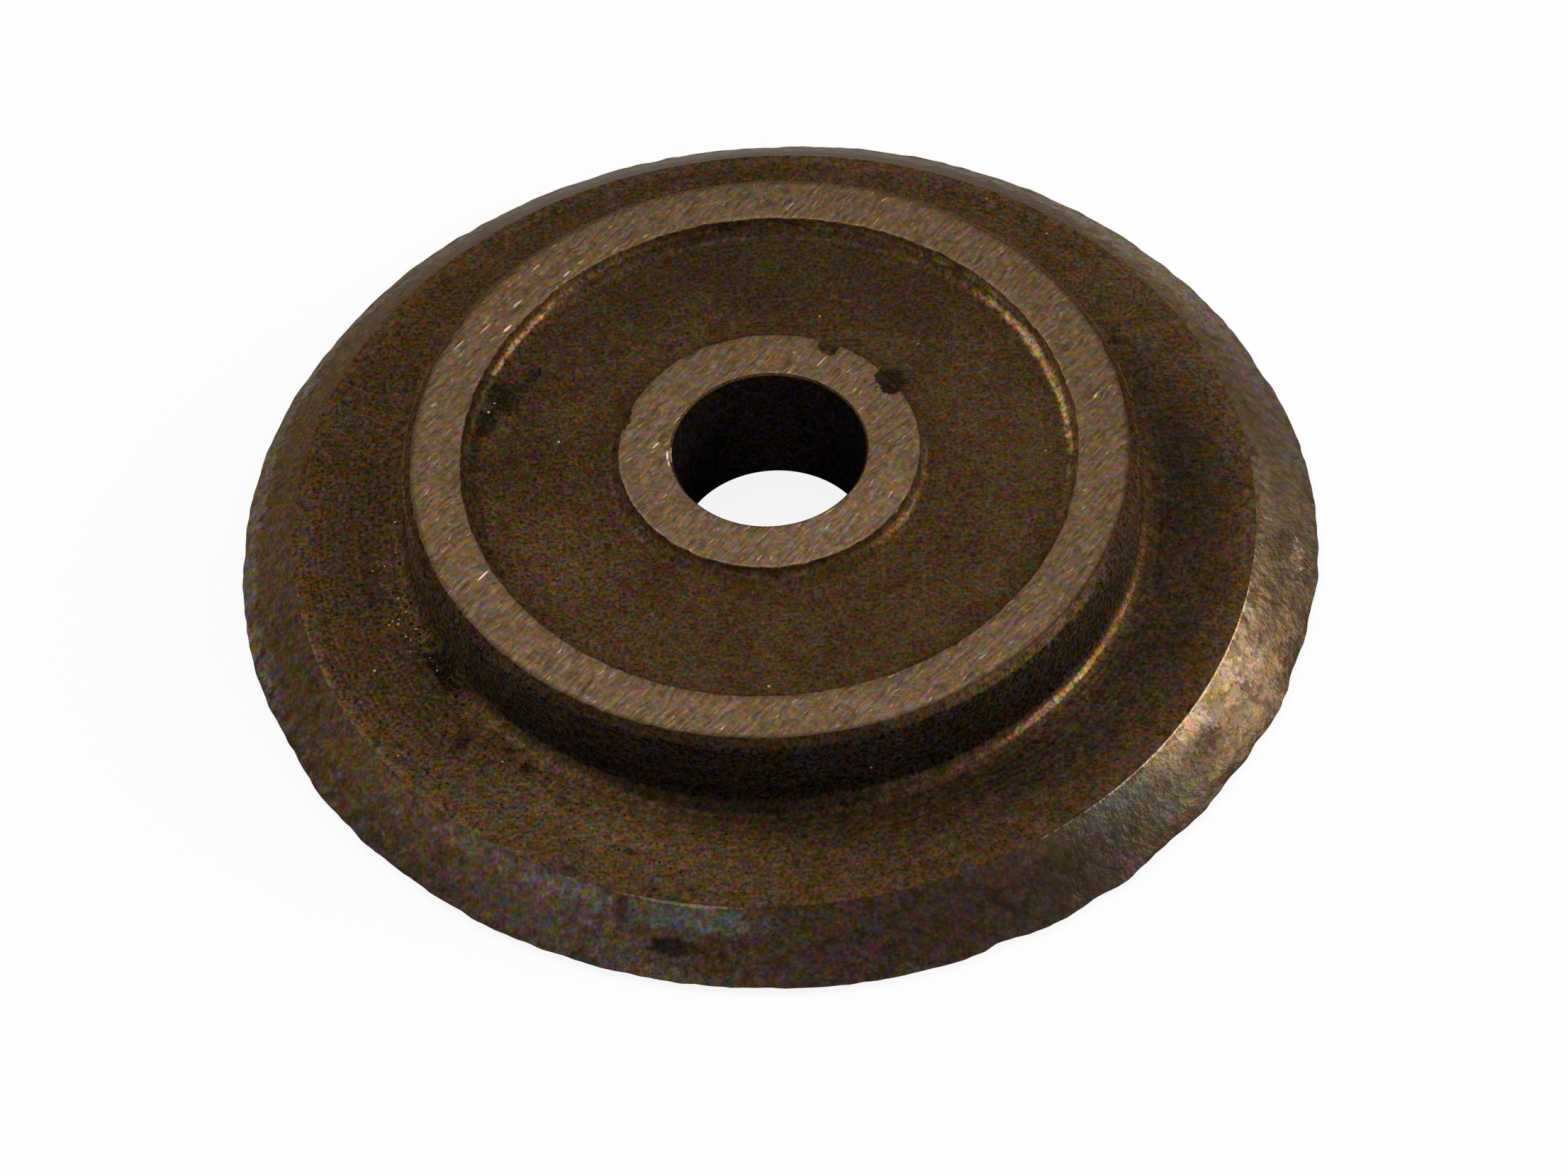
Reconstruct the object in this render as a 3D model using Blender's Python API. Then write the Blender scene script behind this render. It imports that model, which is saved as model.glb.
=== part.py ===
# One-piece cutting blade for a rotary cutter.
#
# The blade is a single turned and hardened steel disc with a flat underside. Its
# top side steps up from a sharp, single-bevel rim to a thin web, and from the web
# to a thick hub. The hub's top is ground flat and has a shallow annular recess
# turned into it, which leaves an outer bearing ring and an inner boss around the
# through bore. Two small chips are broken out of the boss's outer edge.
#
# Frame: +Z is the bore axis, pointing out of the stepped side. The origin is the
# centre of the flat underside, so the blade lies on Z = 0. Lengths are in metres.

import math

import bmesh
import bpy
from mathutils import Matrix, Vector

MM = 0.001

# Cutting rim
RIM_RADIUS = 25.0 * MM         # axis to the cutting edge
BEVEL_WIDTH = 2.75 * MM        # radial width of the single bevel
EDGE_HEIGHT = 0.30 * MM        # underside up to the worn edge land
EDGE_LAND = 0.04 * MM          # height of the worn land on the edge itself
UNDER_BEVEL_WIDTH = 0.45 * MM  # radial width of the small relief under the edge

# Web between the bevel and the hub
WEB_THICKNESS = 2.75 * MM      # at the foot of the hub
WEB_FALL = 0.20 * MM           # how much the web's top drops towards the bevel

# Hub
HUB_THICKNESS = 7.1 * MM       # underside to the ground top faces
RING_RADIUS = 16.87 * MM       # outer wall of the bearing ring
RING_WIDTH = 2.77 * MM         # radial width of the ring, wall to wall
RING_CHAMFER_WIDTH = 0.43 * MM # chamfer on the ring's outer top edge, along the face
RING_CHAMFER_DEPTH = 0.45 * MM # the same chamfer, down the wall
FOOT_FILLET = 0.90 * MM        # hollow fillet where the hub meets the web
RECESS_DEPTH = 0.8 * MM        # recess floor below the ground faces
RECESS_FILLET = 0.70 * MM      # hollow fillets at both feet of the recess
FACE_EDGE_BREAK = 0.05 * MM    # light break on the edges of the ground faces

# Boss and bore
BORE_RADIUS = 4.45 * MM
BOSS_WALL = 2.45 * MM          # bore wall to the boss's outer wall
BORE_CHAMFER = 0.10 * MM       # edge break at both mouths of the bore

# Chips in the boss's outer top edge: angle from +X, then how far each one
# reaches in from the wall, its half width along the edge, and its depth
LARGE_CHIP_ANGLE = math.radians(33.9)
LARGE_CHIP_REACH = 0.95 * MM
LARGE_CHIP_WIDTH = 0.65 * MM
LARGE_CHIP_DEPTH = 0.35 * MM
SMALL_CHIP_ANGLE = math.radians(62.5)
SMALL_CHIP_REACH = 0.75 * MM
SMALL_CHIP_WIDTH = 0.50 * MM
SMALL_CHIP_DEPTH = 0.18 * MM

# Fineness of the facets
TURN_STEPS = 128               # facets round the full turn
FILLET_STEPS = 6               # facets across each hollow fillet
SMOOTH_ANGLE = math.radians(20.0)
GROUND_LEAN = 0.9              # a face whose normal rises more than this counts as ground


def fillet(centre_r, centre_z, radius, start_deg, end_deg):
    """Points along an arc in the half section, both ends included."""
    points = []
    for step in range(FILLET_STEPS + 1):
        angle = math.radians(start_deg + (end_deg - start_deg) * step / FILLET_STEPS)
        r = centre_r + radius * math.cos(angle)
        z = centre_z + radius * math.sin(angle)
        points.append((r, z))
    return points


def boss_section():
    """Bore wall, boss face and the boss's outer wall, from the underside up."""
    boss_radius = BORE_RADIUS + BOSS_WALL
    return [
        (BORE_RADIUS + BORE_CHAMFER, 0.0),
        (BORE_RADIUS, BORE_CHAMFER),
        (BORE_RADIUS, HUB_THICKNESS - BORE_CHAMFER),
        (BORE_RADIUS + BORE_CHAMFER, HUB_THICKNESS),
        (boss_radius - FACE_EDGE_BREAK, HUB_THICKNESS),
        (boss_radius, HUB_THICKNESS - FACE_EDGE_BREAK),
    ]


def recess_section():
    """Floor of the annular recess between its two hollow fillets."""
    inner_wall = BORE_RADIUS + BOSS_WALL
    outer_wall = RING_RADIUS - RING_WIDTH
    centre_z = HUB_THICKNESS - RECESS_DEPTH + RECESS_FILLET
    inner = fillet(inner_wall + RECESS_FILLET, centre_z, RECESS_FILLET, 180.0, 270.0)
    outer = fillet(outer_wall - RECESS_FILLET, centre_z, RECESS_FILLET, 270.0, 360.0)
    return inner + outer


def ring_section():
    """Bearing ring, down its outer wall to the fillet that meets the web."""
    inner_wall = RING_RADIUS - RING_WIDTH
    ring = [
        (inner_wall, HUB_THICKNESS - FACE_EDGE_BREAK),
        (inner_wall + FACE_EDGE_BREAK, HUB_THICKNESS),
        (RING_RADIUS - RING_CHAMFER_WIDTH, HUB_THICKNESS),
        (RING_RADIUS, HUB_THICKNESS - RING_CHAMFER_DEPTH),
    ]
    centre_z = WEB_THICKNESS + FOOT_FILLET
    foot = fillet(RING_RADIUS + FOOT_FILLET, centre_z, FOOT_FILLET, 180.0, 270.0)
    return ring + foot


def rim_section():
    """Web edge, the single bevel, the edge land and the relief below it."""
    return [
        (RIM_RADIUS - BEVEL_WIDTH, WEB_THICKNESS - WEB_FALL),
        (RIM_RADIUS, EDGE_HEIGHT + EDGE_LAND),
        (RIM_RADIUS, EDGE_HEIGHT),
        (RIM_RADIUS - UNDER_BEVEL_WIDTH, 0.0),
    ]


def turn(name, section):
    """Spins a closed half section one full turn about Z into a solid."""
    shape = bmesh.new()
    verts = [shape.verts.new((r, 0.0, z)) for r, z in section]
    for start, end in zip(verts, verts[1:] + verts[:1]):
        shape.edges.new((start, end))
    bmesh.ops.spin(
        shape,
        geom=shape.verts[:] + shape.edges[:],
        cent=(0.0, 0.0, 0.0),
        axis=(0.0, 0.0, 1.0),
        angle=2.0 * math.pi,
        steps=TURN_STEPS,
        use_merge=True,
    )
    bmesh.ops.recalc_face_normals(shape, faces=shape.faces)
    mesh = bpy.data.meshes.new(name)
    shape.to_mesh(mesh)
    shape.free()
    mesh.shade_smooth()
    mesh.set_sharp_from_angle(angle=SMOOTH_ANGLE)
    obj = bpy.data.objects.new(name, mesh)
    bpy.context.scene.collection.objects.link(obj)
    return obj


def steel(name, colour, roughness):
    """A bare steel finish."""
    material = bpy.data.materials.new(name)
    material.use_nodes = True
    shader = material.node_tree.nodes["Principled BSDF"]
    shader.inputs["Base Color"].default_value = (*colour, 1.0)
    shader.inputs["Roughness"].default_value = roughness
    shader.inputs["Metallic"].default_value = 1.0
    return material


def finish_blade(blade):
    """Dark scale all over, with a ground hub face and a honed bevel."""
    blade.data.materials.append(steel("dark_scale_steel", (0.055, 0.036, 0.024), 0.5))
    blade.data.materials.append(steel("ground_steel", (0.30, 0.24, 0.18), 0.35))
    blade.data.materials.append(steel("honed_steel", (0.16, 0.12, 0.10), 0.4))
    bevel_inner = RIM_RADIUS - BEVEL_WIDTH
    for face in blade.data.polygons:
        centre = face.center
        if centre.z > HUB_THICKNESS - RECESS_DEPTH / 2.0 and face.normal.z > GROUND_LEAN:
            face.material_index = 1
        elif math.hypot(centre.x, centre.y) > bevel_inner and face.normal.z > 0.0:
            face.material_index = 2


def chip_edge(blade, name, angle, reach, width, depth):
    """Breaks one shell-shaped chip out of the boss's outer top edge."""
    shape = bmesh.new()
    bmesh.ops.create_icosphere(shape, subdivisions=2, radius=1.0)
    bmesh.ops.scale(shape, vec=Vector((reach, width, depth)), verts=shape.verts)
    edge = Vector((BORE_RADIUS + BOSS_WALL, 0.0, HUB_THICKNESS))
    place = Matrix.Rotation(angle, 4, "Z") @ Matrix.Translation(edge)
    bmesh.ops.transform(shape, matrix=place, verts=shape.verts)
    mesh = bpy.data.meshes.new(name)
    shape.to_mesh(mesh)
    shape.free()
    cutter = bpy.data.objects.new(name, mesh)
    cutter.hide_render = True
    cutter.display_type = "WIRE"
    bpy.context.scene.collection.objects.link(cutter)
    cut = blade.modifiers.new(name, "BOOLEAN")
    cut.operation = "DIFFERENCE"
    cut.solver = "EXACT"
    cut.object = cutter


def clear_scene():
    for obj in list(bpy.data.objects):
        bpy.data.objects.remove(obj, do_unlink=True)


def build():
    clear_scene()
    section = boss_section() + recess_section() + ring_section() + rim_section()
    blade = turn("cutting_blade", section)
    finish_blade(blade)
    chip_edge(
        blade, "large_chip", LARGE_CHIP_ANGLE,
        LARGE_CHIP_REACH, LARGE_CHIP_WIDTH, LARGE_CHIP_DEPTH,
    )
    chip_edge(
        blade, "small_chip", SMALL_CHIP_ANGLE,
        SMALL_CHIP_REACH, SMALL_CHIP_WIDTH, SMALL_CHIP_DEPTH,
    )


build()
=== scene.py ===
# %% [markdown]
# # A round cutting blade in Blender
# This notebook dresses one real part: a small hardened cutting wheel with a bevelled
# rim, a thin web, a thick hub and a ground top. The solid itself comes from a packed
# model, which is called the frame here. The frame gives the size, the place and the
# body that each new piece moves with, so nothing has to be fitted by hand.

# %% Load the frame
import math
import random

import bmesh
import bpy
from mathutils import Matrix, Vector, noise


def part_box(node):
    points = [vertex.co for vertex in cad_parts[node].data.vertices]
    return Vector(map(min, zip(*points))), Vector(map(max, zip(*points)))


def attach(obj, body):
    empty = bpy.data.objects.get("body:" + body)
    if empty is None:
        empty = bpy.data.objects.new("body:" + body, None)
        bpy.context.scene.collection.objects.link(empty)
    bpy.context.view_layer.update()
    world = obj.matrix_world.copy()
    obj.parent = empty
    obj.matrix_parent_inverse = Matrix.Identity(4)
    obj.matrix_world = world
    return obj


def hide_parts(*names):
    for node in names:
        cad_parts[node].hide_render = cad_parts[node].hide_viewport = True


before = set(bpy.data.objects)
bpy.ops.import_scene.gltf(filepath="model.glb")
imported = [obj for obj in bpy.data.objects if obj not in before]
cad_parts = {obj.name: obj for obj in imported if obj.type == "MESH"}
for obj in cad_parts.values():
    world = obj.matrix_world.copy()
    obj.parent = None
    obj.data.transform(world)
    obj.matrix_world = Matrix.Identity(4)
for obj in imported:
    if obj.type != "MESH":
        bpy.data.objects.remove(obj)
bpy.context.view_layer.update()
low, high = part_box("cutting_blade")
print("CAD box in mm:", [round(1000 * value, 2) for value in (*low, *high)])

# %% [markdown]
# ## The half section
# The real blade was turned on a lathe, so it is a flat outline swept once round its
# axis. The same idea works here: draw half of the section, round its corners, and
# spin it. The outer radius and the thickness are read from the frame. The other sizes
# repeat the solid's own, so the dressed blade and the solid share every face.

# %% Sizes of the section
MM = 0.001
RIM_RADIUS = high.x
HUB_THICKNESS = high.z
BEVEL_WIDTH = 2.75 * MM
EDGE_HEIGHT = 0.30 * MM
EDGE_LAND = 0.04 * MM
UNDER_BEVEL_WIDTH = 0.45 * MM
WEB_THICKNESS = 2.75 * MM
WEB_FALL = 0.20 * MM
RING_RADIUS = 16.87 * MM
RING_WIDTH = 2.77 * MM
RING_CHAMFER_WIDTH = 0.43 * MM
RING_CHAMFER_DEPTH = 0.45 * MM
RECESS_DEPTH = 0.8 * MM
BORE_RADIUS = 4.45 * MM
BOSS_WALL = 2.45 * MM
BORE_CHAMFER = 0.10 * MM

BOSS_RADIUS = BORE_RADIUS + BOSS_WALL
RING_INNER = RING_RADIUS - RING_WIDTH
BEVEL_INNER = RIM_RADIUS - BEVEL_WIDTH
RECESS_FLOOR = HUB_THICKNESS - RECESS_DEPTH
print("boss radius", round(BOSS_RADIUS / MM, 2), "mm, ring from", round(RING_INNER / MM, 2))

# %% [markdown]
# ## Rounded corners
# No machined edge is perfectly sharp, and the thin line of light along an edge is
# what makes metal look real. Each corner of the section carries its own radius: large
# ones for the hollow fillets that the tool left, and a few hundredths of a millimetre
# where two ground surfaces meet. A vertex bevel on the flat outline makes each arc.

# %% Corners of the section and their radii
FOOT_FILLET = 0.90 * MM
RECESS_FILLET = 0.70 * MM
CRISP_EDGE = 0.03 * MM
WORN_EDGE = 0.07 * MM
SOFT_EDGE = 0.12 * MM
RUBBED_EDGE = 0.25 * MM
KEEN_EDGE = 0.012 * MM

CORNERS = [
    (BORE_RADIUS + BORE_CHAMFER, 0.0, CRISP_EDGE),
    (BORE_RADIUS, BORE_CHAMFER, CRISP_EDGE),
    (BORE_RADIUS, HUB_THICKNESS - BORE_CHAMFER, CRISP_EDGE),
    (BORE_RADIUS + BORE_CHAMFER, HUB_THICKNESS, CRISP_EDGE),
    (BOSS_RADIUS, HUB_THICKNESS, WORN_EDGE),
    (BOSS_RADIUS, RECESS_FLOOR, RECESS_FILLET),
    (RING_INNER, RECESS_FLOOR, RECESS_FILLET),
    (RING_INNER, HUB_THICKNESS, WORN_EDGE),
    (RING_RADIUS - RING_CHAMFER_WIDTH, HUB_THICKNESS, RUBBED_EDGE),
    (RING_RADIUS, HUB_THICKNESS - RING_CHAMFER_DEPTH, RUBBED_EDGE),
    (RING_RADIUS, WEB_THICKNESS, FOOT_FILLET),
    (BEVEL_INNER, WEB_THICKNESS - WEB_FALL, SOFT_EDGE),
    (RIM_RADIUS, EDGE_HEIGHT + EDGE_LAND, KEEN_EDGE),
    (RIM_RADIUS, EDGE_HEIGHT, KEEN_EDGE),
    (RIM_RADIUS - UNDER_BEVEL_WIDTH, 0.0, WORN_EDGE),
]
SMALL_ARC_STEPS = 4
FILLET_STEPS = 12


def draw_section(corners):
    """The closed outline of the half section, with no face, in the XZ plane."""
    shape = bmesh.new()
    points = [shape.verts.new((r, 0.0, z)) for r, z, _ in corners]
    for start, end in zip(points, points[1:] + points[:1]):
        shape.edges.new((start, end))
    return shape, points


def round_corner(shape, point, radius):
    """Turns one corner of the outline into an arc of the given radius."""
    arms = [edge.other_vert(point).co - point.co for edge in point.link_edges]
    turn = math.pi - arms[0].angle(arms[1])
    steps = FILLET_STEPS if radius > RUBBED_EDGE else SMALL_ARC_STEPS
    bmesh.ops.bevel(
        shape, geom=[point], offset=radius * math.tan(turn / 2.0), offset_type="OFFSET",
        segments=steps, profile=0.5, affect="VERTICES", material=-1, clamp_overlap=False,
    )


section, points = draw_section(CORNERS)
for point, (_, _, radius) in zip(points, CORNERS):
    round_corner(section, point, radius)
print("outline points after rounding:", len(section.verts))

# %% [markdown]
# ## Spinning the blade
# Long straight runs of the outline are cut into short ones first, so that the chips
# and the worn rim further down have enough points to work with. The bore and the
# underside stay plain and need few. The spin then makes the whole skin in one
# operation, and its last step is merged with the first.

# %% Cut the long runs and spin
TURN_STEPS = 510
PLAIN_RUN = 4.0 * MM
LONGEST_RUN = 0.40 * MM
FINE_RUN = 0.115 * MM
FINE_ZONES = [(BORE_RADIUS, BOSS_RADIUS), (BEVEL_INNER, RIM_RADIUS)]


def wanted_run(edge):
    """Longest piece allowed on this edge: short where chips and wear are cut later."""
    middle = (edge.verts[0].co + edge.verts[1].co) / 2.0
    in_bore = middle.x < BORE_RADIUS + CRISP_EDGE
    if in_bore or middle.z < EDGE_HEIGHT / 2.0:
        return PLAIN_RUN
    fine = any(inner < middle.x < outer for inner, outer in FINE_ZONES)
    return FINE_RUN if fine and middle.z > EDGE_HEIGHT else LONGEST_RUN


for edge in section.edges[:]:
    cuts = math.ceil(edge.calc_length() / wanted_run(edge)) - 1
    if cuts > 0:
        bmesh.ops.subdivide_edges(section, edges=[edge], cuts=cuts)
rings = len(section.verts)
bmesh.ops.spin(
    section, geom=section.verts[:] + section.edges[:], cent=(0.0, 0.0, 0.0),
    axis=(0.0, 0.0, 1.0), angle=2.0 * math.pi, steps=TURN_STEPS, use_merge=True,
)
bmesh.ops.recalc_face_normals(section, faces=section.faces)
print(rings, "rings of", TURN_STEPS, "steps:", 2 * rings * TURN_STEPS, "triangles")

# %% [markdown]
# ## Ragged edges
# Grinding leaves a fine burr on the edges of the flat faces, and use breaks it off
# unevenly. Points close to such an edge move in and out by a few hundredths of a
# millimetre. The noise is read at the point itself, so neighbours stay together.

# %% Roughen the edges of the ground faces
RAGGED_DEPTH = 0.06 * MM
RAGGED_WAVES = 2.2 / MM
RAGGED_BAND = 0.22 * MM
GROUND_EDGES = [BOSS_RADIUS, RING_INNER, RING_RADIUS - RING_CHAMFER_WIDTH]


def move_radially(vert, shift):
    """Moves a point away from the axis, or towards it, by a distance."""
    scale = 1.0 + shift / math.hypot(vert.co.x, vert.co.y)
    vert.co.x *= scale
    vert.co.y *= scale


for vert in section.verts:
    if vert.co.z < HUB_THICKNESS - RAGGED_BAND:
        continue
    radius = math.hypot(vert.co.x, vert.co.y)
    away = min(abs(radius - edge) for edge in GROUND_EDGES)
    if away < RAGGED_BAND:
        share = 1.0 - away / RAGGED_BAND
        move_radially(vert, RAGGED_DEPTH * share * noise.noise(vert.co * RAGGED_WAVES))

# %% [markdown]
# ## Chips
# Two chips have broken out of the boss's outer edge, whose left side is dented too,
# and small nicks mark the ring's inner one. A chip is a shallow shell: every point
# inside an egg-shaped volume is pushed slantwise into the metal until it lies on the
# egg. Pushing along one slanted line keeps the skin in one layer, so the mesh stays
# closed without a Boolean. The large chip is two such eggs side by side.

# %% Break the chips
CHIP_ROUGHNESS = 0.18
CHIP_GRAIN = 3.0 / MM


def break_chip(shape, angle_deg, edge_radius, size_mm, inward=-1.0):
    """Presses points inside an egg round the edge onto its far side; returns them.

    size_mm is (reach along the face, half width, depth); inward is -1 on an outer edge
    and +1 on an inner one.
    """
    size = [length * MM for length in size_mm]
    turn = Matrix.Rotation(math.radians(angle_deg), 4, "Z")
    place = turn @ Matrix.Translation((edge_radius, 0.0, HUB_THICKNESS))
    back = place.inverted()
    edge = place.to_translation()
    pressed = []
    for vert in (v for v in shape.verts if (v.co - edge).length < 1.5 * max(size)):
        spot = back @ vert.co
        swell = 1.0 + CHIP_ROUGHNESS * noise.noise(vert.co * CHIP_GRAIN)
        q = Vector(spot[i] / (size[i] * swell) for i in range(3))
        short = 1.0 - q.length_squared
        if short <= 0.0:
            continue
        lean = -inward * q.x + q.z
        push = (lean + math.sqrt(lean * lean + 2.0 * short)) / 2.0
        q += push * Vector((inward, 0.0, -1.0))
        vert.co = place @ Vector(q[i] * size[i] * swell for i in range(3))
        pressed.append(vert)
    return pressed


BOSS_CHIPS = [
    (34.3, (0.62, 0.50, 0.34)),
    (29.6, (0.70, 0.46, 0.20)),
    (62.5, (0.70, 0.48, 0.18)),
    (161, (0.20, 0.60, 0.20)),
]
RING_CHIPS = [
    (303, (0.15, 0.17, 0.12)),
    (297.5, (0.09, 0.30, 0.08)),
    (290, (0.08, 0.40, 0.08)),
    (131, (0.10, 0.25, 0.08)),
]
broken = set()
for angle, size in BOSS_CHIPS:
    broken.update(break_chip(section, angle, BOSS_RADIUS, size))
for angle, size in RING_CHIPS:
    break_chip(section, angle, RING_INNER, size, inward=1.0)
print("boss chips pressed", len(broken), "points")

# %% [markdown]
# ## The worn rim
# The cutting edge has been resharpened by hand a few times, so it runs a little out of
# true with the bore, is gently wavy and has hollows and nicks, most of them at the
# front right. Only the bevel moves, and the shift fades to nothing at the web, so the
# bevel's inner edge stays round. A noise at the point itself frays the edge further.

# %% Wear the rim
WEAR = -0.03 * MM
RUNOUT = 0.185 * MM
RUNOUT_ANGLE = math.radians(-34.0)
WAVES_MM = [(2, 0.048, 3.0), (4, 0.026, 1.3), (5, 0.033, 1.45)]
FRAY = 0.075 * MM
FRAY_WAVES = 1.5 / MM
NICKS_MM = [
    (346, 0.16, 2.3), (338.5, 0.18, 3.8), (327.5, 0.14, 1.6), (321, 0.22, 5.8), (311, 0.24, 3.6),
    (301.5, 0.14, 1.7), (291, 0.22, 2.9), (225, 0.08, 9), (204, 0.14, 6.2), (177, 0.06, 3.1),
    (147, 0.08, 7.2), (90, 0.06, 5), (20, 0.06, 5.4),
]


def rim_shift(angle):
    """How far the cutting edge stands out from its true circle at an angle."""
    waves = sum(height * math.sin(count * angle + phase) for count, height, phase in WAVES_MM)
    return WEAR + RUNOUT * math.cos(angle - RUNOUT_ANGLE) + waves * MM


def nick_depth(angle):
    """How deep the nicks cut the edge at an angle; each has a depth and a width in degrees."""
    depth = 0.0
    for middle, deepest, width in NICKS_MM:
        away = (math.degrees(angle) - middle + 180.0) % 360.0 - 180.0
        depth += deepest * MM * math.exp(-((away / width) ** 2))
    return depth


for vert in section.verts:
    radius = math.hypot(vert.co.x, vert.co.y)
    share = (radius - BEVEL_INNER) / (RIM_RADIUS - BEVEL_INNER)
    if share > 0.0 and vert.co.z > EDGE_HEIGHT / 3.0:
        angle = math.atan2(vert.co.y, vert.co.x)
        fray = FRAY * noise.noise(vert.co * FRAY_WAVES)
        move_radially(vert, rim_shift(angle) * share + (fray - nick_depth(angle)) * share ** 5)
shifts = [round(rim_shift(angle) / MM, 3) for angle in (0.0, math.pi)]
print("rim shift at 0 and 180 degrees in mm:", shifts)

# %% [markdown]
# ## From section to piece
# The finished skin becomes one object. It replaces the plain solid in the picture,
# while the solid stays in the physics. Faces are sorted by where they lie, because
# the ground faces, the dark scale, the bevel, the bore and the underside each have a
# finish of their own.

# %% Make the piece
SMOOTH_ANGLE = math.radians(28.0)
FINISHES = ["scale", "ground", "bevel", "bore", "underside", "broken"]


def add_object(name, shape):
    """Turns a shape into a mesh object and puts it into the scene."""
    mesh = bpy.data.meshes.new(name)
    shape.to_mesh(mesh)
    shape.free()
    obj = bpy.data.objects.new(name, mesh)
    bpy.context.scene.collection.objects.link(obj)
    return obj


def finish_of(face):
    """Which finish a face takes, from its place and the way it faces."""
    if any(vert in broken for vert in face.verts):
        return "broken"
    centre = face.calc_center_median()
    radius = math.hypot(centre.x, centre.y)
    facing = face.normal.z
    if facing < -0.5 or (radius > BEVEL_INNER and facing < 0.0):
        return "underside"
    if radius < BORE_RADIUS + 0.3 * BORE_CHAMFER and facing < 0.5:
        return "bore"
    if centre.z > HUB_THICKNESS - 0.4 * WORN_EDGE and facing > 0.9:
        return "ground"
    if radius > BEVEL_INNER + 0.3 * SOFT_EDGE and facing > 0.1:
        return "bevel"
    return "scale"


for face in section.faces:
    face.material_index = FINISHES.index(finish_of(face))
    face.smooth = True
blade = add_object("blade_body", section)
skin = blade.data
skin.set_sharp_from_angle(angle=SMOOTH_ANGLE)
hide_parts("cutting_blade")
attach(blade, "root")
print("blade_body has", len(skin.polygons), "faces")

# %% [markdown]
# ## Small helpers for node trees
# A material is a tree of nodes. Short helpers keep the later cells readable: one
# feeds a socket, one adds a node, and the others are the few kinds of node that are
# used again and again, for arithmetic, mixing and noise.

# %% Node helpers
ORIGIN = (0.0, 0.0, 0.0)
WHITE = (1.0, 1.0, 1.0)


def feed(tree, socket, source):
    """Links a socket to another node's output, or sets it to a plain value."""
    if isinstance(source, bpy.types.NodeSocket):
        tree.links.new(source, socket)
    elif socket.type == "RGBA":
        socket.default_value = (*source, 1.0)
    else:
        socket.default_value = source


def add_node(tree, kind, sources, **settings):
    """Adds a node and feeds its sockets, named or numbered; returns its outputs."""
    node = tree.nodes.new("ShaderNode" + kind)
    for name, value in settings.items():
        setattr(node, name, value)
    for key, source in sources.items():
        feed(tree, node.inputs[key], source)
    return node.outputs


def calc(tree, operation, *sources):
    """One Math node."""
    return add_node(tree, "Math", dict(enumerate(sources)), operation=operation)[0]


def times(tree, first, second):
    """The product of two numbers."""
    return calc(tree, "MULTIPLY", first, second)


def minus(tree, first, second):
    """The difference of two numbers."""
    return calc(tree, "SUBTRACT", first, second)


def times_plus(tree, first, second, third):
    """The first number times the second, plus the third."""
    return calc(tree, "MULTIPLY_ADD", first, second, third)


def blend_value(tree, factor, first, second):
    """Mixes two numbers."""
    return times_plus(tree, minus(tree, second, first), factor, first)


def vector_calc(tree, operation, *sources):
    """One Vector Math node."""
    return add_node(tree, "VectorMath", dict(enumerate(sources)), operation=operation)[0]


def dim(tree, colour, light):
    """Multiplies a colour or a vector by a number."""
    return add_node(tree, "VectorMath", {0: colour, "Scale": light}, operation="SCALE")[0]


def blend(tree, factor, first, second, kind="MIX"):
    """Mixes two colours."""
    sources = {"Factor": factor, 6: first, 7: second}
    return add_node(tree, "Mix", sources, data_type="RGBA", blend_type=kind)[2]


def remap(tree, value, low_in, high_in, low_out=0.0, high_out=1.0):
    """Carries a value from one range to another with soft ends."""
    sources = {
        "Value": value, "From Min": low_in, "From Max": high_in, "To Min": low_out, "To Max": high_out,
    }
    return add_node(tree, "MapRange", sources, interpolation_type="SMOOTHSTEP")[0]


def cloud(tree, vector, scale, detail=2.0, roughness=0.5):
    """Noise value from 0 to 1 at a number of waves for each unit of the vector."""
    sources = {"Vector": vector, "Scale": scale, "Detail": detail, "Roughness": roughness}
    return add_node(tree, "TexNoise", sources)[0]


def split(tree, vector):
    """The three numbers of a vector."""
    return add_node(tree, "SeparateXYZ", {0: vector})


def join(tree, x, y, z):
    """A vector from three numbers."""
    return add_node(tree, "CombineXYZ", {0: x, 1: y, 2: z})[0]


# %% [markdown]
# ## Groups
# An effect that several materials use is a node group: built once, with named inputs
# and outputs, and then placed like any other node, each time with its own values.

# %% Group helpers
SOCKETS = {"VALUE": "NodeSocketFloat", "VECTOR": "NodeSocketVector", "RGBA": "NodeSocketColor"}


def open_group(name, **inputs):
    """A new node group, given its inputs and their first values; returns it and them."""
    group = bpy.data.node_groups.new(name, "ShaderNodeTree")
    for label, value in inputs.items():
        kind = SOCKETS["VALUE" if isinstance(value, float) else "VECTOR"]
        label = label.replace("_", " ")
        group.interface.new_socket(name=label, in_out="INPUT", socket_type=kind).default_value = value
    return group, group.nodes.new("NodeGroupInput").outputs


def close_group(group, **results):
    """Gives a group its outputs; returns it, ready to be placed."""
    for label, source in results.items():
        group.interface.new_socket(name=label, in_out="OUTPUT", socket_type=SOCKETS[source.type])
    end = group.nodes.new("NodeGroupOutput")
    for label, source in results.items():
        feed(group, end.inputs[label], source)
    print("group made:", group.name)
    return group


def use_group(tree, group, **sources):
    """Places a group in a tree; returns its outputs."""
    named = {label.replace("_", " "): source for label, source in sources.items()}
    return add_node(tree, "Group", named, node_tree=group)


# %% [markdown]
# ## Where a point lies on a turned part
# Wear, heat colours and stains on a blade follow its circles, so most patterns are
# easier to place by radius and angle than by X and Y. This group turns the object's
# own coordinates into millimetres and gives the radius, the angle in degrees and the
# height above the underside.

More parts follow.
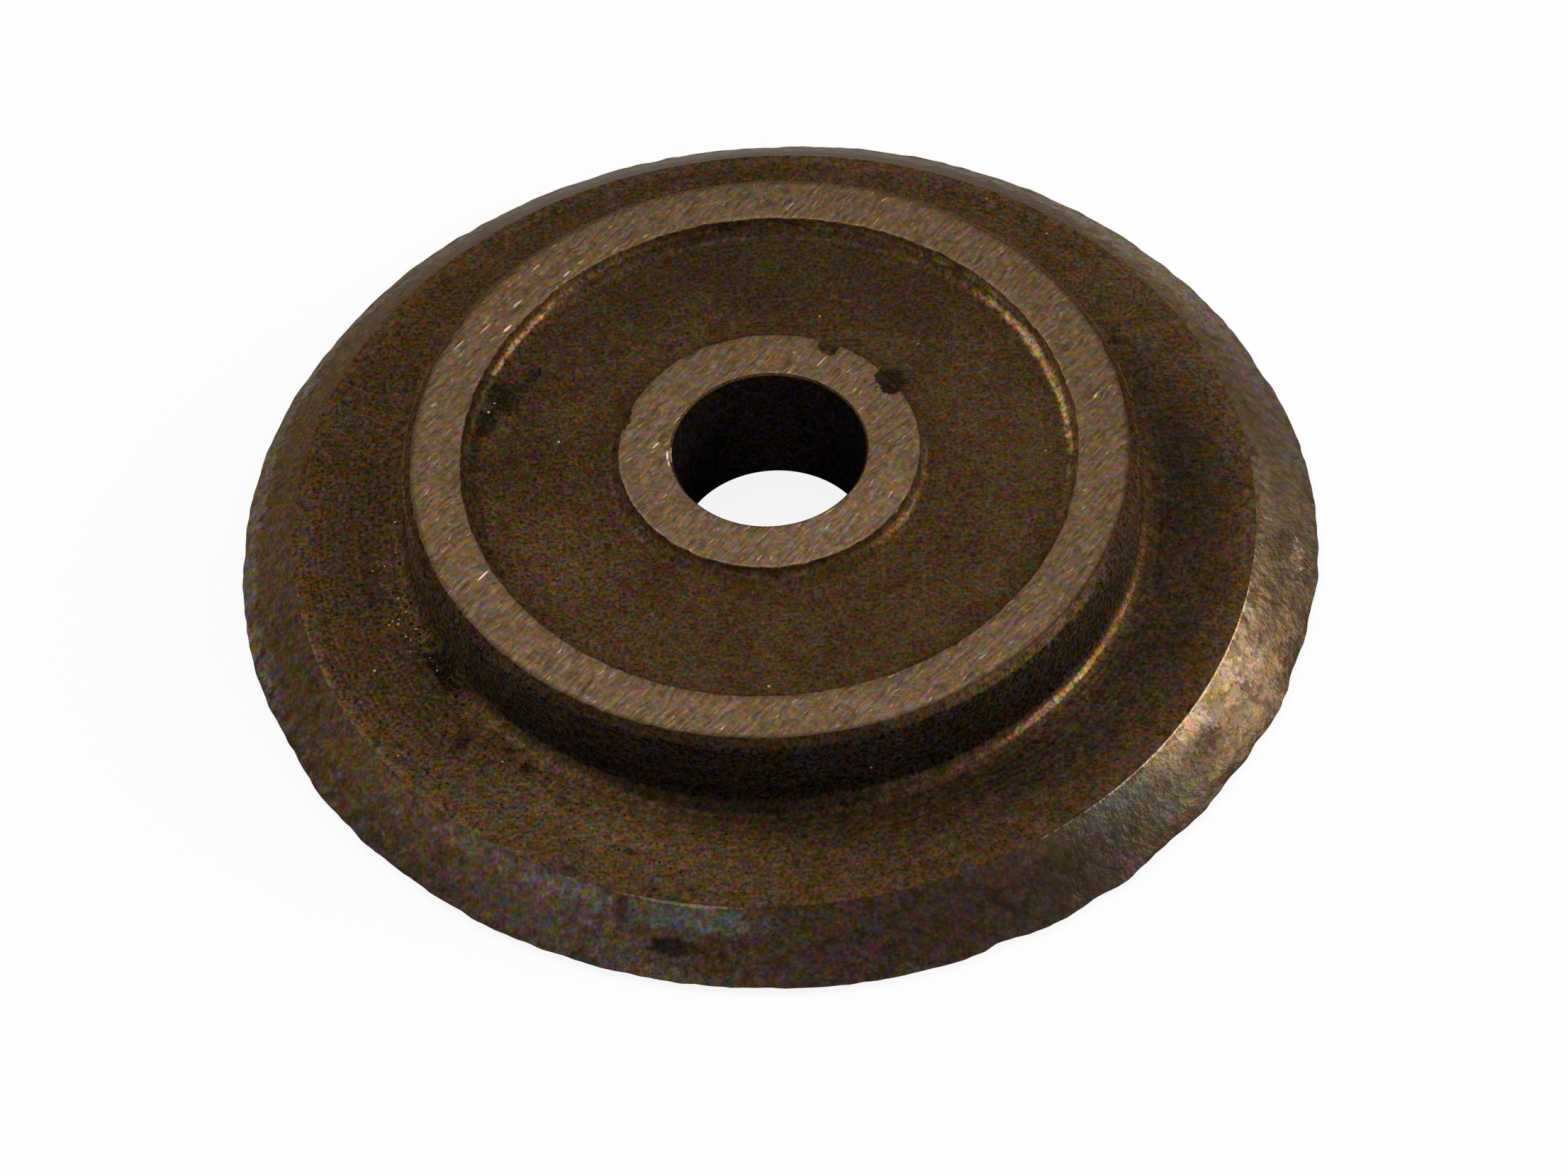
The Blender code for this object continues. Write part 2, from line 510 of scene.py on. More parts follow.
# %% The group "turned place"
tree, start = open_group("turned place", Object=ORIGIN)
in_mm = dim(tree, start["Object"], 1.0 / MM)
x, y, z = split(tree, in_mm)
reach = calc(tree, "SQRT", times_plus(tree, x, x, times(tree, y, y)))
degrees = calc(tree, "DEGREES", calc(tree, "ARCTAN2", y, x))
turned_place = close_group(tree, Point=in_mm, Radius=reach, Angle=degrees, Height=z)

# %% [markdown]
# ## Mottled scale
# Heat treatment leaves a thin brown oxide that is never one even colour. Under a
# loupe it is a carpet of specks: some purple, some olive, light beside dark. Two
# noises do this, a fine one for light and one twice as coarse for the tint, whose
# red, green and blue swing apart, blue the most. Both are factors round one, so a
# finish keeps its own colour and can be multiplied by them.

# %% The group "mottle"
HUE_SWING = (2.3, 2.1, 5.5)
HUE_COARSER = 0.45
LIGHT_SWING = 4.0
LEAST_LIGHT = 0.15
LEAST_TINT = (0.1, 0.1, 0.1)

tree, start = open_group("mottle", Place=ORIGIN, Size=0.15, Contrast=0.5, Cast=1.0)
waves = calc(tree, "DIVIDE", 1.0, start["Size"])
fine = cloud(tree, start["Place"], waves, 2.0, 0.6)
elsewhere = vector_calc(tree, "ADD", start["Place"], (41.0, 17.0, 5.0))
hue = cloud(tree, elsewhere, times(tree, waves, HUE_COARSER), 1.0, 0.5)
swing = times(tree, minus(tree, fine, 0.5), start["Contrast"])
light = calc(tree, "MAXIMUM", times_plus(tree, swing, LIGHT_SWING, 1.0), LEAST_LIGHT)
middle = [1.0 - 0.5 * width for width in HUE_SWING]
tint = vector_calc(tree, "MULTIPLY_ADD", hue.node.outputs["Color"], HUE_SWING, middle)
tint = vector_calc(tree, "MAXIMUM", tint, LEAST_TINT)
tint = blend(tree, start["Cast"], WHITE, tint)
mottle = close_group(tree, Light=light, Tint=tint, Hue=remap(tree, hue, 0.34, 0.66), Height=fine)

# %% [markdown]
# ## The straight lay of a surface grinder
# The two flat faces on top were ground together on a flat bed, so one set of straight
# scratches crosses both, at about 48 degrees to X. A noise that is squeezed across
# the lay and stretched along it makes such lines. A second, finer one gives the few
# bright scratches that catch the light, and a third gives the dark ones. The lines are
# bent slightly and fade in and out, as they do where a wheel has skipped.

# %% The group "straight lay"
LAY_DEG = 48.0

tree, start = open_group("straight lay", Place=ORIGIN, Across=5.0, Along=0.35)
turned = {"Vector": start["Place"], "Angle": -math.radians(LAY_DEG)}
x, y, _ = split(tree, add_node(tree, "VectorRotate", turned, rotation_type="Z_AXIS")[0])
sideways = times_plus(tree, cloud(tree, start["Place"], 0.9, 1.0, 0.5), 0.45, y)


def stretched(across, along, offset):
    """A flat map of the face, squeezed across the lay and stretched along it."""
    u = times(tree, x, times(tree, start["Along"], along))
    v = times(tree, sideways, times(tree, start["Across"], across))
    return join(tree, u, v, offset)


broad = cloud(tree, stretched(1.0, 1.0, 0.0), 1.0, 3.0, 0.65)
bright = cloud(tree, stretched(1.6, 1.7, 7.0), 1.0, 1.0, 0.5)
dark = cloud(tree, stretched(1.9, 1.0, 19.0), 1.0, 1.0, 0.5)
strength = remap(tree, cloud(tree, start["Place"], 1.3, 2.0, 0.6), 0.35, 0.65, 0.35, 1.5)
straight = close_group(
    tree,
    Streaks=times_plus(tree, minus(tree, broad, 0.5), strength, 0.5),
    Bright=remap(tree, bright, 0.66, 0.78),
    Dark=remap(tree, dark, 0.64, 0.78),
    Height=times_plus(tree, dark, -0.5, broad),
)

# %% [markdown]
# ## Patches
# Stains, worn places, heat colours and painted light and shade are soft-edged patches
# at known places. This group draws one on the turned surface: it measures how far a
# point is from the centre, in shares of the patch's own half sizes, and shakes the
# outline by a noise that all patches of a material share. The angle is wrapped, so
# that a patch may lie across the half turn.

# %% The group "patch"
SOFTNESS = 0.4

tree, start = open_group(
    "patch", Angle=0.0, Radius=0.0, Shake=0.0,
    At_Angle=0.0, At_Radius=0.0, Half_Angle=1.0, Half_Width=1.0,
)
round_by = calc(tree, "WRAP", minus(tree, start["Angle"], start["At Angle"]), 180.0, -180.0)
round_by = calc(tree, "DIVIDE", round_by, start["Half Angle"])
out_by = calc(tree, "DIVIDE", minus(tree, start["Radius"], start["At Radius"]), start["Half Width"])
span = calc(tree, "SQRT", times_plus(tree, round_by, round_by, times(tree, out_by, out_by)))
span = calc(tree, "ADD", span, start["Shake"])
patch = close_group(tree, Mask=remap(tree, span, 1.0 - SOFTNESS, 1.0 + SOFTNESS, 1.0, 0.0))

# %% [markdown]
# ## Scratches and specks
# A scratch is a thin oval laid at a chosen angle in the plane of the face. Specks are
# the few cells of a cell noise whose random value is low, each with a dot at its
# middle: bright ones are crystals of grit that sparkle, dark ones are pits.

# %% The groups "scratch" and "specks"
tree, start = open_group(
    "scratch", Place=ORIGIN, Centre=ORIGIN, Turn=0.0, Half_Length=1.0, Half_Width=0.05,
)
turned = {
    "Vector": start["Place"], "Center": start["Centre"], "Angle": times(tree, start["Turn"], -1.0),
}
levelled = add_node(tree, "VectorRotate", turned, rotation_type="Z_AXIS")[0]
x, y, _ = split(tree, vector_calc(tree, "SUBTRACT", levelled, start["Centre"]))
along = calc(tree, "DIVIDE", x, start["Half Length"])
across = calc(tree, "DIVIDE", y, start["Half Width"])
span = times_plus(tree, along, along, times(tree, across, across))
scratch = close_group(tree, Mask=remap(tree, span, 0.3, 1.0, 1.0, 0.0))

tree, start = open_group("specks", Place=ORIGIN, Spacing=0.5, Size=0.12, Share=0.1)
waves = calc(tree, "DIVIDE", 1.0, start["Spacing"])
cells = add_node(tree, "TexVoronoi", {"Vector": start["Place"], "Scale": waves})
chosen = add_node(tree, "SeparateColor", {0: cells["Color"]})[0]
chosen = calc(tree, "LESS_THAN", chosen, start["Share"])
dot = remap(tree, cells["Distance"], times(tree, start["Size"], 0.5), start["Size"], 1.0, 0.0)
specks = close_group(tree, Mask=times(tree, dot, chosen))

# %% [markdown]
# ## Starting a material
# Every finish here is bare steel under some film, so each starts the same way: a
# metallic Principled shader, the object's own coordinates and the turned place. What
# makes a finish its own is a function that paints it: it returns the colour, a height
# for the bump and the depth of that bump in metres.

# %% Material helpers
def make_material(paint, name, roughness, edge_tint, metallic=1.0):
    """A new material whose look comes from paint(tree, place, shader's inputs)."""
    material = bpy.data.materials.new(name)
    material.use_nodes = True
    tree = material.node_tree
    shader = tree.nodes["Principled BSDF"].inputs
    shader["Metallic"].default_value = metallic
    shader["Roughness"].default_value = roughness
    feed(tree, shader["Specular Tint"], edge_tint)
    shader["Specular IOR Level"].default_value = 0.0
    place = use_group(tree, turned_place, Object=add_node(tree, "TexCoord", {})["Object"])
    colour, height, depth = paint(tree, place, shader)
    feed(tree, shader["Base Color"], colour)
    if depth:
        sources = {"Strength": 1.0, "Distance": depth, "Height": height}
        feed(tree, shader["Normal"], add_node(tree, "Bump", sources)["Normal"])
    return material


def shake_of(tree, place, waves=1.6, swing=1.2):
    """The noise that frays the outlines of a material's patches."""
    value = cloud(tree, place["Point"], waves, 4.0, 0.65)
    return times(tree, minus(tree, value, 0.5), 2.0 * swing)


def patch_mask(tree, place, spot, shake=0.0):
    """Where one patch lies; spot is (angle, radius, half angle, half width)."""
    angle, radius, half_angle, half_width = spot
    return use_group(
        tree, patch, Angle=place["Angle"], Radius=place["Radius"], Shake=shake,
        At_Angle=angle, At_Radius=radius, Half_Angle=half_angle, Half_Width=half_width,
    )["Mask"]


def paint_patches(tree, place, shake, colour, patches):
    """Lays patches over a colour: for each tint in turn, its spots and their amounts."""
    for tint, spots in patches:
        for *spot, amount in spots:
            mask = patch_mask(tree, place, spot, shake)
            colour = blend(tree, times(tree, mask, amount), colour, tint)
    return colour


def shade_patches(tree, place, shake, colour, patches):
    """Darkens or lightens in patches: each is a spot and a factor."""
    for *spot, factor in patches:
        mask = patch_mask(tree, place, spot, shake)
        colour = dim(tree, colour, times_plus(tree, mask, factor - 1.0, 1.0))
    return colour


def paint_scratches(tree, place, colour, scratches):
    """Lays scratches over a colour: for each tint in turn, its scratches.

    A scratch is (angle, radius, turn from the lay, half length, half width, amount).
    """
    for tint, lines in scratches:
        for angle, radius, turn, half_length, half_width, amount in lines:
            centre = Vector((radius, 0.0, HUB_THICKNESS / MM))
            mask = use_group(
                tree, scratch, Place=place["Point"], Turn=math.radians(LAY_DEG + turn),
                Centre=Matrix.Rotation(math.radians(angle), 3, "Z") @ centre,
                Half_Length=half_length, Half_Width=half_width,
            )["Mask"]
            colour = blend(tree, times(tree, mask, amount), colour, tint)
    return colour


def paint_specks(tree, place, colour, spacing, size, share, amount, tint):
    """Lays specks over a colour; returns the colour and where they are."""
    mask = use_group(
        tree, specks, Place=place["Point"], Spacing=spacing, Size=size, Share=share,
    )["Mask"]
    return blend(tree, times(tree, mask, amount), colour, tint), mask


def mottled(tree, place, size, contrast, cast=1.0):
    """A mottle with specks of a size in millimetres."""
    return use_group(tree, mottle, Place=place["Point"], Size=size, Contrast=contrast, Cast=cast)


def speckle(tree, colour, grain):
    """Multiplies a colour by the light and the tint of a mottle."""
    return blend(tree, 1.0, dim(tree, colour, grain["Light"]), grain["Tint"], "MULTIPLY")


def unrolled(tree, place, around, out):
    """The skin laid out flat without a seam, stretched round the axis and outwards."""
    turn = calc(tree, "RADIANS", place["Angle"])
    x = times(tree, calc(tree, "COSINE", turn), around * BEVEL_INNER / MM)
    y = times(tree, calc(tree, "SINE", turn), around * BEVEL_INNER / MM)
    return join(tree, x, y, times(tree, place["Radius"], out))


# %% [markdown]
# ## Dark scale
# The web, the recess, the walls and the fillets keep their brown oxide. Oil and dust
# have caked at one place at the hub's foot and in one patch in the recess. The other
# corners at the foot of the hub and of the recess are painted almost black as shade,
# and thin lines in the fillets and along the edges, mostly on the right, are painted
# highlights in brass and copper colours. The patches below mix real dirt and lighter
# or darker film with painted shade, the hub's painted shadow on the web and painted
# highlights, and a list of factors paints more light and shade. The hub's wall is
# painted shade: black at the front, browner and lighter at the sides, darker
# downwards. The web also keeps the lathe's feed marks, fine circles 0.3 millimetres
# apart, drawn only on the left and the right, where the light crosses them; there they
# are in the bump, and in the colour as painted sheen.

# %% The material "dark scale"
SCALE_BROWN = (0.0445, 0.0252, 0.0118)
SCALE_ORANGE = (0.062, 0.0300, 0.0100)
# Near black for oil, dirt and pits, and for painted shade in corners.
OIL_AND_SHADE = (0.0080, 0.0058, 0.0042)
# Brown for the hub's painted shadow on the web and painted shade in the recess.
PAINTED_SHADE_BROWN = (0.0190, 0.0130, 0.0078)
# Dark brown for painted shade on the chamfer and the ring's edge at the front.
CHAMFER_SHADE_BROWN = (0.0142, 0.0078, 0.0046)
# Brass and copper colours for painted highlights in fillets and along edges; the copper also colours
# specks in the bore.
COVE_HIGHLIGHT = (0.190, 0.105, 0.044)
BRIGHT_HIGHLIGHT = (0.300, 0.180, 0.085)
COPPER_HIGHLIGHT_AND_SPECK = (0.110, 0.054, 0.022)
# A lighter scale, in places a painted highlight.
PALE_SCALE_AND_SHEEN = (0.066, 0.0400, 0.0200)
# A colour for painted highlights along fillets and edges.
FILLET_HIGHLIGHT = (0.110, 0.066, 0.032)
GRIT_YELLOW = (0.45, 0.30, 0.12)
SCALE_EDGE = (0.62, 0.55, 0.47)
SCALE_METALLIC = 0.45
# Painted shade on the hub's wall: its colour at the front, how it lightens upwards, and how much the
# sides are painted lighter.
WALL_SHADE_BLACK = (0.0215, 0.0138, 0.0092)
WALL_METALLIC = 0.05
FRONT_WALL_SHADE = (0.86, 1.20)
SIDE_WALL_LIGHT = (1.75, 2.2)
WALL_RISE = (3.6, 6.4)
TURNING_FEED = 0.30
WALL = RING_RADIUS / MM
FOOT = 17.2
WEB_END = BEVEL_INNER / MM

# Patches of real dirt and lighter scale mixed with painted shade, a painted shadow and painted
# highlights; the comments inside say which.
SCALE_PATCHES = [
    # Lighter scale on the web at the front left, on the outer web at the back and in the recess on the
    # right.
    (PALE_SCALE_AND_SHEEN, [(240, 20.7, 26, 1.5, 0.45), (30, 21.9, 60, 0.7, 0.3), (8, 11, 40, 3, 0.2)]),
    # Painted shadow of the hub on the web, right, front right and left, and painted shade at the back
    # of the recess beside the ring's wall.
    (PAINTED_SHADE_BROWN, [
        (349, 19.2, 46, 1.7, 0.7), (303, 19.3, 14, 1.4, 0.45), (190, 19, 32, 1.9, 0.2),
        (90, 11.6, 62, 2.7, 0.4),
    ]),
    # Painted highlight along the web's outer edge on the left.
    (FILLET_HIGHLIGHT, [(210, WEB_END - 0.03, 22, 0.2, 0.36)]),
    # Painted shade in the hub's foot at the front.
    (OIL_AND_SHADE, [(264, 17.15, 24, 0.32, 0.8)]),
    # Painted highlight in the hub's foot fillet at the front left.
    (PALE_SCALE_AND_SHEEN, [(226, 17.36, 15, 0.16, 0.75)]),
    # Real dirt: the caked clump at the hub's foot, dark spots on the web and a dirty patch in the
    # recess; then a painted shadow beside the large chip and painted shade in the recess corner on the
    # left.
    (OIL_AND_SHADE, [
        (208.5, 17.45, 5, 0.55, 0.75), (190, 18.9, 5, 0.5, 0.4), (220, 19.1, 1.2, 0.6, 0.7),
        (230, 18.2, 1, 0.3, 0.8), (226, 18, 0.7, 0.22, 0.8), (249, 20.2, 1, 0.18, 0.7),
        (243, 21.9, 0.9, 0.22, 0.6), (215, 21.2, 0.7, 0.16, 0.7), (158.5, 12.9, 4.2, 0.75, 0.8),
        (151, 12.3, 1.8, 0.35, 0.6), (166, 13.3, 3, 0.45, 0.7), (35, 7.35, 6, 0.5, 0.8),
        (180, 13.65, 24, 0.3, 0.45),
    ]),
    # Painted highlight at the bore's top edge on the left.
    (BRIGHT_HIGHLIGHT, [(180, 4.5, 5, 0.08, 0.9)]),
    # Painted highlights along the boss's outer edge.
    (FILLET_HIGHLIGHT, [(215, 6.93, 62, 0.16, 0.5), (350, 6.96, 24, 0.24, 0.5)]),
    # Painted shade in the recess corner at the back.
    (OIL_AND_SHADE, [(92, 13.95, 20, 0.25, 0.2)]),
    # Painted highlights along the ring's inner edge.
    (FILLET_HIGHLIGHT, [(40, 14.12, 56, 0.12, 0.9), (119, 14.08, 16, 0.12, 0.6)]),
    # Painted highlights: beads of light in the hub's foot fillet on the right, and a line in the boss's
    # fillet.
    (COPPER_HIGHLIGHT_AND_SPECK, [(302, FOOT + 0.08, 7, 0.1, 0.6)]),
    (COVE_HIGHLIGHT, [(313, FOOT + 0.02, 8, 0.12, 0.95), (323, FOOT + 0.01, 6, 0.1, 0.85)]),
    (COPPER_HIGHLIGHT_AND_SPECK, [
        (333, FOOT, 7, 0.11, 0.8), (346, FOOT - 0.02, 8, 0.1, 0.3), (325, 7.06, 13, 0.17, 0.8),
    ]),
    # Painted highlights in the recess fillet on the right and along the ring's inner edge.
    (COVE_HIGHLIGHT, [(20, 13.78, 21, 0.2, 0.8)]),
    (BRIGHT_HIGHLIGHT, [(14, 13.76, 9, 0.14, 0.6), (28, 13.82, 9, 0.14, 0.9)]),
    (COPPER_HIGHLIGHT_AND_SPECK, [(8, 14.05, 22, 0.14, 0.75), (140, 14.05, 14, 0.14, 0.7)]),
    (COVE_HIGHLIGHT, [(145, 13.88, 9, 0.09, 0.75)]),
]
# Painted light and shade: factors that lighten or darken the scale in patches, for the hub's shadow on
# the web, lit and shaded fillets and edges, and lighter and darker parts of the recess and the web.
SCALE_LIGHT_AND_SHADE = [
    (180, 11, 12, 2.2, 0.76), (208, 10.3, 15, 2.6, 1.2), (202, 13.3, 12, 0.5, 0.83),
    (157, 11.6, 10, 0.8, 0.85), (97, 12.2, 30, 1.4, 0.9), (92, 9.5, 10, 0.8, 0.82),
    (330, 10, 22, 1.2, 0.88), (97, 7.1, 34, 0.45, 0.75), (292, 7.35, 14, 0.25, 0.72),
    (305, 6.94, 34, 0.14, 1.35), (20, 14.1, 34, 0.16, 1.5), (128, 14.1, 14, 0.16, 1.3),
    (347, 13.9, 12, 0.3, 1.6), (50, 13.75, 14, 0.3, 1.2), (128, 13.75, 14, 0.3, 1.2),
    (195, 17.3, 16, 0.5, 1.2), (296, 21.4, 10, 0.6, 0.86), (45, 20.4, 36, 0.8, 1.22),
    (30, 19.4, 12, 1, 1.28), (0, 18.8, 12, 0.8, 0.87), (245, 18.7, 20, 1.5, 1.38),
    (240, 18, 12, 0.5, 1.25), (286, 18.7, 18, 1.1, 0.75), (268, 17.5, 10, 0.4, 0.75),
    (325, 17.75, 18, 0.45, 1.4), (100, 22.05, 120, 0.4, 1.2),
]
# Painted light and shade on the chamfer: lighter at the front right and on the left, darker on the
# right.
CHAMFER_LIGHT_AND_SHADE = [
    (307, 16.65, 16, 0.6, 2.5), (342, 16.65, 18, 0.6, 1.15), (185, 16.65, 12, 0.6, 1.25),
    (216, 16.65, 13, 0.6, 1.25), (12, 16.65, 20, 0.6, 0.75),
]
CHAMFER_OUT = (15.9, 16.4)
CHAMFER_UP = (6.35, 6.65)
# The front half, where the chamfer and the ring's outer edge take painted shade.
SHADED_FRONT = (265.0, 16.5, 95.0, 9.0)
LEFT = (188.0, 16.0, 46.0, 12.0)
# Where the wall's painted shade lies, and its darkest core.
WALL_SHADE_SPOT = (272.0, WALL, 75.0, 9.0)
WALL_SHADE_CORE = (270.0, WALL, 40.0, 9.0, 0.62)
# The left and right sides of the web, where the feed marks are drawn and show as painted sheen.
SHEEN_SIDES = [(196.0, 20.0, 28.0, 3.0), (333.0, 18.8, 40.0, 2.4)]


def turning_lines(tree, place):
    """The lathe's feed marks, one for each turn, only where the side light picks them out; in the
    colour they are painted sheen.
    """
    wave = calc(tree, "SINE", times(tree, place["Radius"], 2.0 * math.pi / TURNING_FEED))
    left, right = (patch_mask(tree, place, spot) for spot in SHEEN_SIDES)
    on_web = remap(tree, place["Radius"], FOOT, FOOT + 0.6)
    return times(tree, wave, times(tree, calc(tree, "MAXIMUM", left, right), on_web))


def paint_wall(tree, place, colour):
    """The hub's wall, painted shade: black at the front, browner and lighter at the sides, darker
    downwards.
    """
    front = dim(tree, WALL_SHADE_BLACK, remap(tree, place["Height"], *WALL_RISE, *FRONT_WALL_SHADE))
    front = shade_patches(tree, place, 0.0, front, [WALL_SHADE_CORE])
    side = dim(tree, colour, remap(tree, place["Height"], *WALL_RISE, *SIDE_WALL_LIGHT))
    return blend(tree, patch_mask(tree, place, WALL_SHADE_SPOT), side, front)


def paint_chamfer(tree, place, shake, colour):
    """The chamfer on top of the wall, painted darkest at the front as shade, with more painted light
    and shade in patches.
    """
    high = remap(tree, place["Height"], *CHAMFER_UP)
    chamfer = times(tree, remap(tree, place["Radius"], *CHAMFER_OUT), high)
    amount = times(tree, patch_mask(tree, place, SHADED_FRONT), 0.68)
    painted = blend(tree, amount, colour, CHAMFER_SHADE_BROWN)
    painted = shade_patches(tree, place, shake, painted, CHAMFER_LIGHT_AND_SHADE)
    return blend(tree, chamfer, colour, painted)


def paint_scale(tree, place, shader):
    off_wall = calc(tree, "ABSOLUTE", minus(tree, place["Radius"], WALL))
    on_wall = remap(tree, off_wall, 0.05, 0.15, 1.0, 0.0)
    left = patch_mask(tree, place, LEFT)
    grain = mottled(
        tree, place, 0.175, blend_value(tree, on_wall, blend_value(tree, left, 0.76, 0.95), 1.35),
        blend_value(tree, on_wall, blend_value(tree, left, 0.78, 0.82), 1.0),
    )
    orange = remap(tree, cloud(tree, place["Point"], 4.2, 1.0, 0.5), 0.54, 0.70)
    colour = blend(tree, times(tree, orange, 0.6), SCALE_BROWN, SCALE_ORANGE)
    rings = cloud(tree, unrolled(tree, place, 0.05, 6.0), 1.0, 2.0, 0.6)
    colour = dim(tree, colour, remap(tree, rings, 0.3, 0.7, 0.91, 1.09))
    feed_marks = turning_lines(tree, place)
    colour = dim(tree, colour, times_plus(tree, feed_marks, 0.13, 1.0))
    shake = shake_of(tree, place)
    colour = paint_patches(tree, place, shake, colour, SCALE_PATCHES)
    colour = shade_patches(tree, place, shake, colour, SCALE_LIGHT_AND_SHADE)
    colour = paint_chamfer(tree, place, shake, colour)
    # Painted shade on the hub's wall at the front, painted light at the sides.
    colour = blend(tree, on_wall, colour, paint_wall(tree, place, colour))
    feed(tree, shader["Metallic"], blend_value(tree, on_wall, SCALE_METALLIC, WALL_METALLIC))
    slow = cloud(tree, place["Point"], 0.35, 3.0, 0.55)
    colour = dim(tree, colour, remap(tree, slow, 0.3, 0.7, 0.88, 1.12))
    colour = speckle(tree, colour, grain)
    colour, pits = paint_specks(tree, place, colour, 1.1, 0.20, 0.12, 0.6, OIL_AND_SHADE)
    colour, _ = paint_specks(tree, place, colour, 0.45, 0.15, 0.006, 0.7, GRIT_YELLOW)
    height = times_plus(tree, rings, 0.35, grain["Height"])
    height = times_plus(tree, feed_marks, 0.12, height)
    return colour, times_plus(tree, pits, -0.8, height), 0.022 * MM


# %% [markdown]
# ## Ground faces
# The boss and the ring were ground bright after hardening, then handled and stored
# until they turned a warm grey-brown. The lay shows as light and dark streaks, with
# a few scratches that flash. Towards the ring's outer edge the face is rubbed over
# and turns as brown as the chamfer, and darker at the front, where that brown is
# painted shade. Two glints at the bore's edge are painted highlights, and a list of
# factors paints light and shade on the boss and the ring.

# %% The material "ground face"
GROUND_WARM = (0.103, 0.0635, 0.0350)
SCRATCH_LIGHT = (0.55, 0.41, 0.24)
SCRATCH_DARK = (0.036, 0.022, 0.016)
BORE_GLINT = (0.60, 0.42, 0.36)
BOSS_LIFT = 1.06
RUBBED_AND_SHADED_BAND = (16.15, 16.44)
GROUND_EDGE = (0.70, 0.64, 0.56)
# Painted light and shade on the ground faces: lighter at the boss's front, darker at its back and at
# the front edges of the ring and the bore.
GROUND_LIGHT_AND_SHADE = [
    (300, 5.8, 45, 1.6, 1.13), (90, 6.6, 40, 0.4, 0.84), (264, 16.25, 17, 0.25, 0.82),
    (264, 4.68, 22, 0.28, 0.8),
]

FACE_SCRATCHES = [
    (SCRATCH_LIGHT, [
        (205.5, 14.6, 0, 0.45, 0.06, 1), (145, 14.4, 0, 0.35, 0.08, 1), (147, 15.3, 0, 0.45, 0.05, 0.6),
        (139, 14.9, 0, 0.4, 0.05, 0.6), (152, 15.9, 0, 0.45, 0.05, 0.6), (131, 15.8, 0, 0.4, 0.05, 0.5),
        (128, 14.5, 0, 0.3, 0.06, 0.7), (62, 5.7, 0, 0.45, 0.04, 0.8), (173, 5.2, 0, 0.3, 0.06, 0.8),
    ]),
    # Two painted highlights where the bore's top edge catches the light on the left.
    (BORE_GLINT, [(180, 4.65, 40, 0.34, 0.06, 1), (186, 4.63, 48, 0.2, 0.05, 1)]),
    (SCRATCH_DARK, [
        (6, 5.7, -10.0, 1.1, 0.04, 0.8), (2, 6.1, -7.0, 0.8, 0.04, 0.7), (12, 5.2, 4, 0.6, 0.035, 0.7),
        (236, 15.6, 12, 0.9, 0.05, 0.6), (318, 15.2, -4.0, 1.2, 0.05, 0.5),
    ]),
]


def paint_ground(tree, place, shader):
    lay = use_group(tree, straight, Place=place["Point"], Across=5.2, Along=0.75)
    colour = dim(tree, GROUND_WARM, remap(tree, lay["Streaks"], 0.25, 0.75, 0.56, 1.44))
    colour = blend(tree, times(tree, lay["Dark"], 0.5), colour, SCRATCH_DARK)
    colour = blend(tree, times(tree, lay["Bright"], 0.5), colour, SCRATCH_LIGHT)
    colour = paint_scratches(tree, place, colour, FACE_SCRATCHES)
    # The brown band along the ring's outer edge: rubbed, and stronger at the front as painted shade.
    amount = remap(tree, patch_mask(tree, place, SHADED_FRONT), 0.0, 1.0, 0.35, 0.75)
    rubbed_and_shaded = times(tree, remap(tree, place["Radius"], *RUBBED_AND_SHADED_BAND), amount)
    colour = blend(tree, rubbed_and_shaded, colour, CHAMFER_SHADE_BROWN)
    colour = dim(tree, colour, remap(tree, place["Radius"], 7.0, 14.0, BOSS_LIFT, 1.0))
    colour = shade_patches(tree, place, 0.0, colour, GROUND_LIGHT_AND_SHADE)
    grain = mottled(tree, place, 0.19, 0.36, 0.51)
    return speckle(tree, colour, grain), lay["Height"], 0.012 * MM


# %% [markdown]
# ## The bevel
# The bevel was ground and honed by hand, then browned again. It is darker than the
# web and blotched at about a third of a millimetre. On the right a long stretch has
# been resharpened: the steel there is clean and bright, and it is painted brighter
# still as a highlight where the right-hand lamp is mirrored, with flakes that glare,
# which are painted highlights, and others that have rusted a dark red. Their outlines
# are frayed by a finer noise than the patches' own. Beside it, and at the lower left,
# heat has left a blue-grey tint. Pale bands along the outer edge are painted sheen,
# thin lines along the inner edge are painted highlights, and a list of factors paints
# more light and shade.

# %% The material "honed bevel"
BEVEL_BROWN = (0.0420, 0.0260, 0.0165)
BEVEL_DARK = (0.0170, 0.0100, 0.0070)
# Cleaner, brighter and warmer steel on the right, partly painted highlight where the right-hand lamp is
# mirrored; then a colour for a painted highlight line along the bevel's inner edge.
CLEAN_STEEL_AND_SHEEN = (0.080, 0.051, 0.028)
BEVEL_HIGHLIGHT = (0.140, 0.088, 0.046)
WARM_STEEL_AND_SHEEN = (0.095, 0.064, 0.038)
EDGE_LINE_HIGHLIGHT = (0.26, 0.185, 0.11)
HEAT_BLUE = (0.050, 0.050, 0.040)
PIT_RED = (0.036, 0.020, 0.013)
# Painted highlights on flakes.
GLARE = (0.300, 0.205, 0.120)
HEAT_GREY = (0.068, 0.051, 0.039)
# Pale painted sheen on the outer bevel, also a painted highlight line.
BEVEL_SHEEN = (0.130, 0.100, 0.078)
LEFT_BROWN = (0.086, 0.052, 0.027)
BEVEL_EDGE = (0.63, 0.56, 0.49)
RESHARPENED = (335.0, 23.5, 46.0, 4.0)
LEAST_HONED = 0.4

